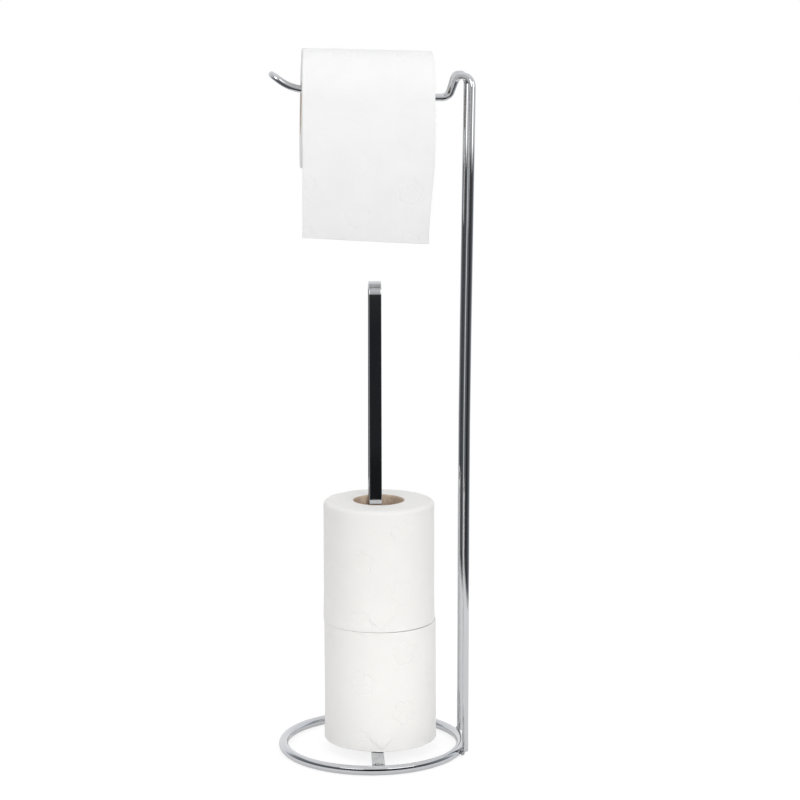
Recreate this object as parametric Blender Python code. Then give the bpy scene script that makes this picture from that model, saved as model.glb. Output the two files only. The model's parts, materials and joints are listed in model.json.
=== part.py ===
"""A free-standing toilet roll holder: a chromed wire stand, a roll on its arm and two spare rolls.

Metres, +Z up. The origin is on the floor at the centre of the base ring. The arm points to -X and the two
uprights stand at +X, one in front of the other.
"""
import math

import bmesh
import bpy
from mathutils import Matrix, Vector

# Running gap between pieces that touch on the real stand
CLEARANCE = 0.0003

# Base ring, a round rod with a flat along its underside
RING_RADIUS = 0.071
RING_ROD_DIAMETER = 0.0074
RING_STEPS = 64
RING_SIDES = 10

# Wire frame: feet, uprights, hump, arm and hairpin tip, all as centre lines of one wire
WIRE_DIAMETER = 0.0050
WIRE_SIDES = 8
ARM_REACH = 0.0757
UPRIGHT_LEAN = 0.0032
FOOT_HEIGHT = 0.0038
FOOT_HALF_SPACING = 0.0275
SHOULDER_HALF_SPACING = 0.0290
HUMP_HALF_SPACING = 0.0175
ARM_HALF_SPACING = 0.0080
ARM_HEIGHT = 0.5166
HUMP_RISE = 0.0171
HUMP_LENGTH = 0.0105
HUMP_SLOPE_RUN = 0.0058
ARM_CLIMB = 0.0071
ARM_LEVEL_SHARE = 0.301
TIP_RUN = 0.0142
TIP_RISE = 0.0106
UPRIGHT_BOW_RADIUS = 12.0
SHOULDER_BEND = 0.0085
HUMP_BEND = 0.0080
RISE_BEND = 0.0075
ARM_BEND = 0.600
TIP_BEND = 0.043
BEND_STEP_DEGREES = 11.0
BOW_HEIGHT_SHARE = 0.5
BEND_ROOM_SHARE = 0.98

# Post and strap, one flat strip bent to an upside-down U with its ends turned out to the ring
STRIP_WIDTH = 0.00975
STRIP_THICKNESS = 0.0020
STRIP_EDGE = 0.0004
POST_X = 0.0025
POST_HEIGHT = 0.3753
POST_HALF_SPACING = 0.0160
POST_LOOP_RADIUS = 0.0095
POST_KNEE_SHARE = 0.50
POST_KNEE_BEND = 0.300
POST_FOOT_BEND = 0.0025
STRAP_TOP = 0.0093
STRAP_END_TOP = 0.0060
STRAP_SHOULDER_SHARE = 0.68
STRAP_BEND = 0.020
LOOP_STEP_DEGREES = 15.0

# Weld beads
UPRIGHT_WELD_SIZE = (0.0044, 0.0070, 0.0060)
STRAP_WELD_SIZE = (0.0088, 0.0034, 0.0034)
WELD_STEPS = 12

# Rolls: a kraft-board core with paper wound round it
CORE_BORE_DIAMETER = 0.0396
CORE_WALL = 0.0006
ROLL_STEPS = 48
HANGING_ROLL_DIAMETER = 0.0912
HANGING_ROLL_LENGTH = 0.0995
HANGING_ROLL_LEFT_END = -0.0537
HANGING_ROLL_TILT_DEGREES = 1.4
HANGING_ROLL_YAW_DEGREES = 0.7
HANGING_ROLL_EDGE = 0.0012
SPARE_ROLL_LENGTH = 0.0960
LOWER_ROLL_DIAMETER = 0.0885
LOWER_ROLL_X = 0.0065
UPPER_ROLL_DIAMETER = 0.0872
UPPER_ROLL_X = 0.0055
SPARE_ROLL_EDGE = 0.0034
EDGE_ROUND_STEPS = 3

# Loose end of the hanging roll
SHEET_DROP = 0.0965
SHEET_THICKNESS = 0.0006
SHEET_SLANT_DEGREES = 2.0
SHEET_BULGE = 0.0065
SHEET_CURL_DEPTH = 0.0070
SHEET_CURL_WIDTH_SHARE = 0.32
SHEET_NARROWING = 0.0040
SHEET_COLUMNS = 12
SHEET_ROWS = 8

# Edges where two faces turn by more than this are shaded sharp
SHARP_ANGLE_DEGREES = 40.0

# Finishes: colour, roughness and how metallic it is
CHROME = ((0.62, 0.63, 0.65), 0.08, 1.0)
WELD_STEEL = ((0.42, 0.42, 0.43), 0.30, 1.0)
KRAFT_BOARD = ((0.46, 0.34, 0.23), 0.85, 0.0)
TISSUE = ((0.90, 0.90, 0.89), 0.90, 0.0)


def clear_scene():
    for thing in list(bpy.data.objects):
        bpy.data.objects.remove(thing, do_unlink=True)


def make_material(name, look):
    colour, roughness, metallic = look
    material = bpy.data.materials.new(name)
    material.use_nodes = True
    shader = material.node_tree.nodes["Principled BSDF"]
    shader.inputs["Base Color"].default_value = (*colour, 1.0)
    shader.inputs["Roughness"].default_value = roughness
    shader.inputs["Metallic"].default_value = metallic
    return material


def object_from_bmesh(name, shape, look, parent=None):
    """Closes a bmesh into a named object with its own material, smooth except at its sharp edges."""
    bmesh.ops.recalc_face_normals(shape, faces=shape.faces)
    mesh = bpy.data.meshes.new(name)
    shape.to_mesh(mesh)
    shape.free()
    mesh.shade_smooth()
    mesh.set_sharp_from_angle(angle=math.radians(SHARP_ANGLE_DEGREES))
    piece = bpy.data.objects.new(name, mesh)
    bpy.context.scene.collection.objects.link(piece)
    if look is not None:
        mesh.materials.append(make_material(name, look))
    if parent is not None:
        piece.parent = parent
    return piece


def empty_at(name, place, rotation=(0, 0, 0)):
    """An empty that carries the pieces of one moving body, at its joint."""
    empty = bpy.data.objects.new(name, None)
    empty.location = place
    empty.rotation_euler = rotation
    bpy.context.scene.collection.objects.link(empty)
    return empty


def as_cutter(piece):
    piece.hide_render = True
    piece.display_type = "WIRE"
    return piece


def skin_rings(shape, rings, closed):
    """Joins equal rings of vertices into a tube, round and back to the first one or capped at its ends."""
    sides = len(rings[0])
    count = len(rings)
    for step in range(count if closed else count - 1):
        near, far = rings[step], rings[(step + 1) % count]
        for side in range(sides):
            following = (side + 1) % sides
            shape.faces.new((near[side], near[following], far[following], far[side]))
    if not closed:
        shape.faces.new(list(reversed(rings[0])))
        shape.faces.new(rings[-1])


def turned_solid(outline, steps):
    """Turns a closed outline of (radius, height) points about Z."""
    shape = bmesh.new()
    rings = []
    for step in range(steps):
        angle = math.tau * step / steps
        across, along = math.cos(angle), math.sin(angle)
        rings.append([shape.verts.new((r * across, r * along, z)) for r, z in outline])
    skin_rings(shape, rings, closed=True)
    return shape


def rounded_path(corners, bends, step_degrees):
    """A polyline through the corners with each inner corner rounded to its bend radius.

    A bend that has no room between its neighbours is tightened until it fits.
    """
    count = len(corners)
    cut_back = [0.0] * count
    turns = [0.0] * count
    for i in range(1, count - 1):
        before = (corners[i] - corners[i - 1]).normalized()
        after = (corners[i + 1] - corners[i]).normalized()
        turns[i] = before.angle(after, 0.0)
        cut_back[i] = bends[i] * math.tan(turns[i] / 2)
    for i in range(count - 1):
        room = (corners[i + 1] - corners[i]).length * BEND_ROOM_SHARE
        wanted = cut_back[i] + cut_back[i + 1]
        if wanted > room:
            cut_back[i] *= room / wanted
            cut_back[i + 1] *= room / wanted
    points = [corners[0].copy()]
    for i in range(1, count - 1):
        before = (corners[i] - corners[i - 1]).normalized()
        after = (corners[i + 1] - corners[i]).normalized()
        steps = max(2, math.ceil(math.degrees(turns[i]) / step_degrees))
        radius = cut_back[i] / math.tan(turns[i] / 2)
        start = corners[i] - before * cut_back[i]
        inward = (after - before * before.dot(after)).normalized()
        for step in range(steps + 1):
            angle = turns[i] * step / steps
            along = before * math.sin(angle) + inward * (1 - math.cos(angle))
            points.append(start + along * radius)
    points.append(corners[-1].copy())
    return points


def path_directions(points):
    """The direction of the path at each point, halfway between the runs that meet there."""
    directions = []
    for i in range(len(points)):
        before = points[i] - points[max(i - 1, 0)]
        after = points[min(i + 1, len(points) - 1)] - points[i]
        directions.append((before.normalized() + after.normalized()).normalized())
    return directions


def wire_solid(points, radius, sides):
    """A round wire along the path, with its section carried on from point to point without twist."""
    shape = bmesh.new()
    directions = path_directions(points)
    across = Vector((0, 1, 0)).cross(directions[0]).normalized()
    rings = []
    for point, direction in zip(points, directions):
        across = (across - direction * across.dot(direction)).normalized()
        upward = direction.cross(across)
        ring = []
        for side in range(sides):
            angle = math.tau * (side + 0.5) / sides
            outward = across * math.cos(angle) + upward * math.sin(angle)
            ring.append(shape.verts.new(point + outward * radius))
        rings.append(ring)
    skin_rings(shape, rings, closed=False)
    return shape


def ring_rod_radius():
    return RING_ROD_DIAMETER / 2


def ring_axis_height():
    """Height of the rod's centre line: its section is turned so that one flat side lies on the floor."""
    return ring_rod_radius() * math.cos(math.pi / RING_SIDES)


def ring_solid(grow=0.0):
    outline = []
    radius = ring_rod_radius() + grow
    for side in range(RING_SIDES):
        angle = math.tau * side / RING_SIDES
        height = ring_axis_height() + radius * math.sin(angle)
        outline.append((RING_RADIUS + radius * math.cos(angle), height))
    return turned_solid(outline, RING_STEPS)


def foot_distance():
    """Distance of a wire foot from the ring's centre: outside the ring and against it."""
    return RING_RADIUS + ring_rod_radius() + CLEARANCE + WIRE_DIAMETER / 2


def foot_x():
    return math.sqrt(foot_distance() ** 2 - FOOT_HALF_SPACING ** 2)


def shoulder_x():
    """The uprights lean outwards a little, so their tops stand further out than their feet."""
    return foot_x() + UPRIGHT_LEAN


def hump_x():
    return shoulder_x() - HUMP_LENGTH


def frame_half_path():
    """Corners and bend radii of the front half of the frame, from its foot to the tip's front corner."""
    hump_height = ARM_HEIGHT + HUMP_RISE
    rise_x = hump_x() - HUMP_SLOPE_RUN
    level_end_x = rise_x - (rise_x + ARM_REACH) * ARM_LEVEL_SHARE
    tip_x = TIP_RUN - ARM_REACH
    climb_height = ARM_HEIGHT + ARM_CLIMB
    bow_height = hump_height * BOW_HEIGHT_SHARE
    foot = Vector((foot_x(), -FOOT_HALF_SPACING, FOOT_HEIGHT))
    bow_y = (FOOT_HALF_SPACING + SHOULDER_HALF_SPACING) / 2
    return [
        (foot, 0),
        (Vector((foot.x, -bow_y, bow_height)), UPRIGHT_BOW_RADIUS),
        (Vector((shoulder_x(), -SHOULDER_HALF_SPACING, hump_height)), SHOULDER_BEND),
        (Vector((hump_x(), -HUMP_HALF_SPACING, hump_height)), HUMP_BEND),
        (Vector((rise_x, -ARM_HALF_SPACING, ARM_HEIGHT)), RISE_BEND),
        (Vector((level_end_x, -ARM_HALF_SPACING, ARM_HEIGHT)), ARM_BEND),
        (Vector((tip_x, -ARM_HALF_SPACING, climb_height)), TIP_BEND),
        (Vector((-ARM_REACH, -ARM_HALF_SPACING, climb_height + TIP_RISE)), ARM_HALF_SPACING),
    ]


def frame_path():
    """Centre line of the whole wire: the front half, then the same half mirrored on the way back."""
    front = frame_half_path()
    back = [(Vector((p.x, -p.y, p.z)), bend) for p, bend in reversed(front)]
    corners = [p for p, bend in front + back]
    bends = [bend for p, bend in front + back]
    return rounded_path(corners, bends, BEND_STEP_DEGREES)


def arm_height_at(x):
    """Height of the arm's centre line at x, on the front half of the frame."""
    points = frame_path()
    front = points[:len(points) // 2]
    arm = [p for p in front if p.z > ARM_HEIGHT - WIRE_DIAMETER and p.x < hump_x()]
    for left, right in zip(arm[1:], arm[:-1]):
        if left.x <= x <= right.x:
            share = (x - left.x) / (right.x - left.x)
            return left.z + (right.z - left.z) * share
    return arm[-1].z


def strip_path():
    """Centre line of the strip in the plane of Y and Z, from the front of the ring to the back of it."""
    half = STRIP_THICKNESS / 2
    end_height = STRAP_END_TOP - half
    above_axis = end_height - ring_axis_height()
    ring_side = math.sqrt(max(0, (ring_rod_radius() + CLEARANCE) ** 2 - above_axis ** 2))
    inner_side = RING_RADIUS - ring_side - half
    strap_height = STRAP_TOP - half
    top_height = POST_HEIGHT - half
    knee_height = POST_HEIGHT * POST_KNEE_SHARE
    front = [
        (Vector((0, -inner_side, end_height)), 0),
        (Vector((0, -inner_side * STRAP_SHOULDER_SHARE, strap_height)), STRAP_BEND),
        (Vector((0, -POST_HALF_SPACING, strap_height)), POST_FOOT_BEND),
        (Vector((0, -POST_HALF_SPACING, knee_height)), POST_KNEE_BEND),
        (Vector((0, -POST_LOOP_RADIUS, top_height)), POST_LOOP_RADIUS),
    ]
    back = [(Vector((0, -p.y, p.z)), bend) for p, bend in reversed(front)]
    corners = [p for p, bend in front + back]
    bends = [bend for p, bend in front + back]
    return rounded_path(corners, bends, LOOP_STEP_DEGREES)


def strip_solid(grow=0.0):
    """The flat strip with its four long edges eased, standing at the post's place."""
    shape = bmesh.new()
    half_width = STRIP_WIDTH / 2 + grow
    half_thick = STRIP_THICKNESS / 2 + grow
    edge = STRIP_EDGE
    section = [
        (half_width, half_thick - edge), (half_width - edge, half_thick),
        (edge - half_width, half_thick), (-half_width, half_thick - edge),
        (-half_width, edge - half_thick), (edge - half_width, -half_thick),
        (half_width - edge, -half_thick), (half_width, edge - half_thick),
    ]
    points = strip_path()
    directions = path_directions(points)
    points[0] = points[0] - directions[0] * grow
    points[-1] = points[-1] + directions[-1] * grow
    rings = []
    for point, direction in zip(points, directions):
        outward = Vector((1, 0, 0)).cross(direction)
        rings.append([shape.verts.new(point + outward * through + Vector((POST_X + across, 0, 0)))
                      for across, through in section])
    skin_rings(shape, rings, closed=False)
    return shape


def strap_end():
    """Middle of the strap's top edge at its front end."""
    end = strip_path()[0]
    return Vector((POST_X, end.y, STRAP_END_TOP))


def bead(place, size, turn):
    shape = bmesh.new()
    bmesh.ops.create_uvsphere(shape, u_segments=WELD_STEPS, v_segments=WELD_STEPS // 2, radius=0.5)
    bmesh.ops.scale(shape, verts=shape.verts, vec=size)
    bmesh.ops.rotate(shape, verts=shape.verts, matrix=Matrix.Rotation(turn, 3, "Z"))
    bmesh.ops.translate(shape, verts=shape.verts, vec=place)
    return shape


def cut_by(piece, cutters):
    for cutter in cutters:
        cut = piece.modifiers.new(cutter.name, "BOOLEAN")
        cut.operation = "DIFFERENCE"
        cut.solver = "EXACT"
        cut.object = cutter


def make_welds():
    """Beads laid round the joints, hollowed by the steel that they join with the running gap all round."""
    ring_cutter = as_cutter(object_from_bmesh("ring_cutter", ring_solid(CLEARANCE), None))
    wire = wire_solid(frame_path(), WIRE_DIAMETER / 2 + CLEARANCE, WIRE_SIDES)
    wire_cutter = as_cutter(object_from_bmesh("wire_cutter", wire, None))
    strip_cutter = as_cutter(object_from_bmesh("strip_cutter", strip_solid(CLEARANCE), None))
    foot_turn = math.asin(FOOT_HALF_SPACING / foot_distance())
    seat = RING_RADIUS + ring_rod_radius()
    end = strap_end()
    for name, side in (("front", -1), ("back", 1)):
        turn = foot_turn * side
        place = Vector((seat * math.cos(turn), seat * math.sin(turn), ring_axis_height()))
        weld = object_from_bmesh("upright_weld_" + name, bead(place, UPRIGHT_WELD_SIZE, turn), WELD_STEEL)
        cut_by(weld, [ring_cutter, wire_cutter])
        place = Vector((end.x, -end.y * side, end.z))
        weld = object_from_bmesh("strap_weld_" + name, bead(place, STRAP_WELD_SIZE, 0), WELD_STEEL)
        cut_by(weld, [ring_cutter, strip_cutter])


def make_stand():
    object_from_bmesh("base_ring", ring_solid(), CHROME)
    object_from_bmesh("arm_frame", wire_solid(frame_path(), WIRE_DIAMETER / 2, WIRE_SIDES), CHROME)
    object_from_bmesh("spare_roll_post", strip_solid(), CHROME)
    make_welds()


def core_radius():
    return CORE_BORE_DIAMETER / 2 + CORE_WALL


def make_core(name, length, parent):
    """Kraft-board tube that stands up from its parent's origin."""
    bore = CORE_BORE_DIAMETER / 2
    outline = [(bore, 0), (core_radius(), 0), (core_radius(), length), (bore, length)]
    return object_from_bmesh(name, turned_solid(outline, ROLL_STEPS), KRAFT_BOARD, parent)


def make_paper(name, diameter, length, edge, parent):
    """Wound paper round a core, with both of its outer rims rounded."""
    inner = core_radius() + CLEARANCE
    outer = diameter / 2
    outline = [(inner, 0)]
    for centre_height, first in ((edge, -math.pi / 2), (length - edge, 0)):
        for step in range(EDGE_ROUND_STEPS + 1):
            angle = first + math.pi / 2 * step / EDGE_ROUND_STEPS
            radius = outer - edge + edge * math.cos(angle)
            outline.append((radius, centre_height + edge * math.sin(angle)))
    outline.append((inner, length))
    return object_from_bmesh(name, turned_solid(outline, ROLL_STEPS), TISSUE, parent)


def hanging_roll_axis():
    """Centre of the hanging roll's left end and the direction of its axis towards the right end.

    The roll hangs with the inside of its core on the wire at its left end, and sits a little askew.
    """
    yaw = math.radians(HANGING_ROLL_YAW_DEGREES)
    tilt = math.radians(HANGING_ROLL_TILT_DEGREES)
    level = Vector((math.cos(yaw), math.sin(yaw), 0))
    direction = level * math.cos(tilt) - Vector((0, 0, math.sin(tilt)))
    sideways = HANGING_ROLL_LENGTH / 2 * math.sin(yaw)
    seat = CORE_BORE_DIAMETER / 2 - WIRE_DIAMETER / 2 - CLEARANCE
    drop = math.sqrt(max(0, seat ** 2 - (ARM_HALF_SPACING + sideways) ** 2))
    height = arm_height_at(HANGING_ROLL_LEFT_END) - drop
    return Vector((HANGING_ROLL_LEFT_END, -sideways, height)), direction


def make_hanging_roll():
    """The roll on the arm: its parent stands at the left end with +Z along the roll's axis."""
    left_end, direction = hanging_roll_axis()
    turn = Vector((0, 0, 1)).rotation_difference(direction).to_euler()
    carrier = empty_at("hanging_roll", left_end, turn)
    length = HANGING_ROLL_LENGTH
    make_core("hanging_roll_core", length, carrier)
    make_paper("hanging_roll_paper", HANGING_ROLL_DIAMETER, length, HANGING_ROLL_EDGE, carrier)


def sheet_point(across, down, depth):
    """A point of the loose end, by its shares across and down from the top left corner."""
    left_end, direction = hanging_roll_axis()
    top = left_end + direction * HANGING_ROLL_LENGTH * across
    into_curl = max(0.0, 1 - (1 - across) / SHEET_CURL_WIDTH_SHARE)
    curl = (into_curl * down) ** 2
    bulge = SHEET_BULGE * 4 * down * (1 - down)
    slope = math.tan(math.radians(SHEET_SLANT_DEGREES))
    slant = HANGING_ROLL_LENGTH * (across - 0.5) * slope * down
    roll_front = top.y - HANGING_ROLL_DIAMETER / 2 - CLEARANCE
    return Vector((
        top.x - SHEET_NARROWING * curl,
        roll_front - depth - bulge + SHEET_CURL_DEPTH * curl,
        top.z - SHEET_DROP * down - slant,
    ))


def make_hanging_sheet():
    """The loose end: it hangs from the roll's front, bowed forward, and curls back on the right."""
    shape = bmesh.new()
    layers = []
    for depth in (0, SHEET_THICKNESS):
        grid = []
        for row in range(SHEET_ROWS + 1):
            line = []
            for column in range(SHEET_COLUMNS + 1):
                place = sheet_point(column / SHEET_COLUMNS, row / SHEET_ROWS, depth)
                line.append(shape.verts.new(place))
            grid.append(line)
        layers.append(grid)
    close_sheet(shape, layers)
    object_from_bmesh("hanging_sheet", shape, TISSUE)


def close_sheet(shape, layers):
    """Faces for the two layers of a sheet and the band round its four edges."""
    back, front = layers
    for row in range(SHEET_ROWS):
        for column in range(SHEET_COLUMNS):
            for grid in (back, front):
                square = (grid[row][column], grid[row][column + 1],
                          grid[row + 1][column + 1], grid[row + 1][column])
                shape.faces.new(square)
    for row in range(SHEET_ROWS):
        for column in (0, SHEET_COLUMNS):
            shape.faces.new((back[row][column], back[row + 1][column],
                             front[row + 1][column], front[row][column]))
    for column in range(SHEET_COLUMNS):
        for row in (0, SHEET_ROWS):
            shape.faces.new((back[row][column], back[row][column + 1],
                             front[row][column + 1], front[row][column]))


def make_spare_rolls():
    """Two rolls round the post, the lower one on the strap and the upper one on the lower one."""
    lower_base = STRAP_TOP + CLEARANCE
    upper_base = lower_base + SPARE_ROLL_LENGTH + CLEARANCE
    rolls = (("lower_roll", LOWER_ROLL_X, lower_base, LOWER_ROLL_DIAMETER),
             ("upper_roll", UPPER_ROLL_X, upper_base, UPPER_ROLL_DIAMETER))
    for name, x, base, diameter in rolls:
        carrier = empty_at(name, (x, 0, base))
        make_core(name + "_core", SPARE_ROLL_LENGTH, carrier)
        make_paper(name + "_paper", diameter, SPARE_ROLL_LENGTH, SPARE_ROLL_EDGE, carrier)


clear_scene()
make_stand()
make_hanging_roll()
make_hanging_sheet()
make_spare_rolls()
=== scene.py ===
"""The looks of a free-standing toilet roll holder, built round the frame of its solids.

Metres, +Z up, in the frame of the solids: the arm points to -X, the two uprights stand at +X, and the
loose end of the hanging roll is on the -Y side.
"""

import json
import math

import bmesh
import bpy
import numpy as np
from mathutils import Matrix, Vector


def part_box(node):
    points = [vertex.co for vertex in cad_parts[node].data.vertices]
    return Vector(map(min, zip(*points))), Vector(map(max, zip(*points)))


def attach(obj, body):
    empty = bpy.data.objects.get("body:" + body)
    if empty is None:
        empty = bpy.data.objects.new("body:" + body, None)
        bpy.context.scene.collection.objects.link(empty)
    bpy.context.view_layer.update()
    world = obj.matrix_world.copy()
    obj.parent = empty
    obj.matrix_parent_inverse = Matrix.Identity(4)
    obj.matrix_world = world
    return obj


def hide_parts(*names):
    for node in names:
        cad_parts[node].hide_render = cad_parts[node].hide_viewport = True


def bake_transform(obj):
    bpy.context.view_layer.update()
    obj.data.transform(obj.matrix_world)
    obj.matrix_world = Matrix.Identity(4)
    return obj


UP = Vector((0, 0, 1))
SAME_PLACE = 1e-6
WHITE = (1, 1, 1, 1)

# Camera of the photo, for an image of 800 by 800
CAMERA_PLACE = (-0.0681, -1.8469, 0.6048)
CAMERA_TILT_DEGREES = 80.084
CAMERA_TURN_DEGREES = -2.8
CAMERA_LENS = 108.0
CAMERA_CLIP_START = 0.05

# Base ring
RING_ROD_RADIUS = 0.0037
RING_AXIS_HEIGHT = 0.00352
RING_STEPS = 288
RING_SIDES = 40

# Wire frame, the same centre line as the solid's
WIRE_RADIUS = 0.0025
WIRE_SIDES = 32
WIRE_END_EDGE = 0.0004
WIRE_END_SHAPE = [(1.0, 0.0), (0.3, 0.6), (0.0, 1.0)]
ARM_REACH = 0.0757
UPRIGHT_LEAN = 0.0032
FOOT_HEIGHT = 0.0038
FOOT_HALF_SPACING = 0.0275
SHOULDER_HALF_SPACING = 0.0290
HUMP_HALF_SPACING = 0.0175
ARM_HALF_SPACING = 0.0080
ARM_HEIGHT = 0.5166
HUMP_RISE = 0.0171
HUMP_LENGTH = 0.0105
HUMP_SLOPE_RUN = 0.0058
ARM_CLIMB = 0.0071
ARM_LEVEL_SHARE = 0.301
TIP_RUN = 0.0142
TIP_RISE = 0.0106
UPRIGHT_BOW_RADIUS = 12.0
SHOULDER_BEND = 0.0085
HUMP_BEND = 0.0080
RISE_BEND = 0.0075
ARM_BEND = 0.600
TIP_BEND = 0.043
BOW_HEIGHT_SHARE = 0.5
CLEARANCE = 0.0003
BEND_ROOM_SHARE = 0.98
BEND_STEP_DEGREES = 3.0
LONGEST_STEP = 0.004
DRAWN_LINES = "drawn_lines"

# Post and strap, the same centre line as the solid's
STRIP_THICKNESS = 0.0020
STRIP_EDGE = 0.00055
STRIP_EDGE_STEPS = 4
POST_HALF_SPACING = 0.0160
POST_LOOP_RADIUS = 0.0095
POST_KNEE_SHARE = 0.50
POST_KNEE_BEND = 0.300
POST_FOOT_BEND = 0.0025
STRAP_TOP = 0.0093
STRAP_END_TOP = 0.0060
STRAP_SHOULDER_SHARE = 0.68
STRAP_BEND = 0.020

# Weld beads
WELDS = ("upright_weld_front", "upright_weld_back", "strap_weld_front", "strap_weld_back")
WELD_GROWTH = 1.12
WELD_LUMPS = 0.10
WELD_ROWS = 22
WELD_COLUMNS = 32
WELD_SEED = 11

# Waviness: how many sines are added up
NOISE_WAVES = 7

# Rolls
CORE_BORE_RADIUS = 0.0198
CORE_WALL = 0.0006
CORE_RADIUS = CORE_BORE_RADIUS + CORE_WALL
CORE_STEPS = 160
CORE_WALL_ROWS = 3
CORE_SIDE_ROWS = 60
CORE_SEAM_PITCH = 0.085
CORE_SEAM_DEPTH = 0.00012
CORE_SEAM_WIDTH = 0.0006
HANGING_ROLL_RADIUS = 0.0456
HANGING_ROLL_LENGTH = 0.0995
HANGING_ROLL_LEFT_END = -0.0537
HANGING_ROLL_EDGE = 0.0012
SPARE_ROLL_EDGE = 0.0034
COVERED_ROLL_EDGE = 0.0004
SPARE_ROLL_BOTTOM_EDGE = 0.0003
ROLL_STEPS = 620
ROLL_ROWS = 210
ROLL_FACE_ROWS = 30
ROLL_EDGE_ROWS = 9
ROLL_SIDE_FROM = 0.93
ROLL_SIDE_FULL = 0.985
ROLL_SOFTNESS = 0.00012
ROLL_FLARE = 0.0004
ROLL_FLARE_HEIGHT = 0.030
FACE_RIPPLE = 0.00012
FACE_RIPPLE_STRETCH = 0.6
FACE_RIPPLE_FULL_FROM = 0.25
HANGING_ROLL_SEED = 3
LOWER_ROLL_SEED = 5
UPPER_ROLL_SEED = 8

# Tucked end of a spare roll
TUCK_POINT_HEIGHT = 0.0010
TUCK_SLOPE = 0.95
TUCK_HEIGHT = 0.027
TUCK_FADE_SHARE = 0.25
TUCK_STEP = 0.0008
TUCK_CREASE = 0.0024
TUCK_FLAP_SHARE = 0.6
TUCK_FOLD_WIDTH = 0.0060
TUCK_FOLD_OFF = 0.0005
TUCK_FOLD_HEIGHT = 0.0125
TUCK_FOLD_FADE_SHARE = 0.6
TUCK_TURN_DEGREES = -91.0

# Loose end
SHEET_THICKNESS = 0.00022
SHEET_HIDDEN_DEGREES = 42.0
SHEET_LEAVES_DEGREES = 15.0
SHEET_ENDS_DEGREES = -13.0
SHEET_HANG = 0.1094
SHEET_SINK = 0.0007
SHEET_SLANT_DEGREES = 2.0
SHEET_CURL_DEPTH = 0.0070
SHEET_CURL_WIDTH_SHARE = 0.32
SHEET_NARROWING = 0.0037
SHEET_NARROWS_FROM = 0.3
SHEET_NARROWS_TO = 0.95
SHEET_LEAN = 0.0007
SHEET_WAVES = 0.00035
SHEET_WAVES_ACROSS = 2.2
SHEET_WAVES_SEED = 31
SHEET_TORN = 0.00015
SHEET_TORN_FROM = 0.985
SHEET_TORN_ACROSS = 60
SHEET_TORN_SEED = 37
SHEET_COLUMNS = 230
SHEET_ROWS = 270
SHEET_COURSE_STEPS = 400

# Pressed blossoms of the tissue
BLOSSOM_RADIUS = 0.0098
BLOSSOM_LINE = 0.00050
BLOSSOM_PETALS = 5
BLOSSOM_WAIST = 0.62
BLOSSOM_PITCH = 0.0450
BLOSSOM_COLUMN_SHARE = 0.8
BLOSSOM_TURN_BY_COLUMN = 0.9
BLOSSOM_TURN_BY_ROW = 1.7
PARTING_SPREAD = 0.8
PARTING_MIDDLE = 0.48
PARTING_REACH = 0.18
DOT_COUNT = 3
DOT_DISTANCE = 0.17
DOT_SPREAD = 0.7
ROLL_PRESS_DEPTH = 0.00042
ROLL_PRESS_USUAL = 0.75
ROLL_PRESS_VARIES = 0.40
ROLL_PRESS_LEAST = 0.15
ROLL_PRESS_MOST = 1.2
ROLL_BLOSSOM_SHIFT = 0.006
SHEET_PRESS_DEPTH = 0.00034
SHEET_PRESS_STARTS = (0.02, 0.3)
SHEET_PRESS_GROWS = (0.2, 0.8)
SHEET_PRESS_LEAST = 0.35
SHEET_BLOSSOM_WIDTH_SHARE = 1.6
SHEET_BLOSSOM_LENGTH = 0.16
SHEET_BLOSSOM_SHIFT_ACROSS = 0.019
SHEET_BLOSSOM_SHIFT_DOWN = 0.004

# Finishes. A grain is a noise: its stretch along the axes, its scale, and any detail and roughness set
NOISE_DETAIL = 3.0
CHROME_COLOUR = (0.62, 0.63, 0.65)
CHROME_USUAL_ROUGHNESS = 0.05
CHROME_WAVE_GRAIN = ((1, 1, 0.10), 260.0, 1.0)
CHROME_LINE_GRAIN = ((1, 1, 0.02), 1900.0, 2.0)
CHROME_HAZE_GRAIN = ((1, 1, 0.25), 90.0, 4.0)
CHROME_HAZE_RANGE = (0.35, 0.75)
CHROME_ROUGHNESS = (0.04, 0.09)
CHROME_WAVE_DEPTH = 0.00003
CHROME_LINE_DEPTH = 0.0000015
WELD_COLOUR = (0.42, 0.42, 0.43)
WELD_USUAL_ROUGHNESS = 0.28
WELD_GRAIN = ((1, 1, 1), 900.0, 4.0)
WELD_GRAIN_RANGE = (0.3, 0.7)
WELD_ROUGHNESS = (0.14, 0.38)
WELD_GRAIN_DEPTH = 0.00025
BOARD_COLOUR = (0.46, 0.34, 0.23)
BOARD_SHADES = [(0.30, (0.49, 0.375, 0.28)), (0.70, (0.70, 0.565, 0.44))]
BOARD_ROUGHNESS = 0.85
BOARD_FIBRE_GRAIN = ((1, 1, 0.3), 700.0, 5.0, 0.65)
BOARD_FIBRE_DEPTH = 0.00012
# Tissue colours: the sides, a second colour mixed into the sides at random, and the end faces. The spare
# rolls' tissue is a darker, slightly warmer copy of the hanging roll's, and its darkness is painted shade
# on the stack.
HANGING_TISSUE = ((0.90, 0.90, 0.90), (0.88, 0.88, 0.88), (0.89, 0.89, 0.89))
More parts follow.
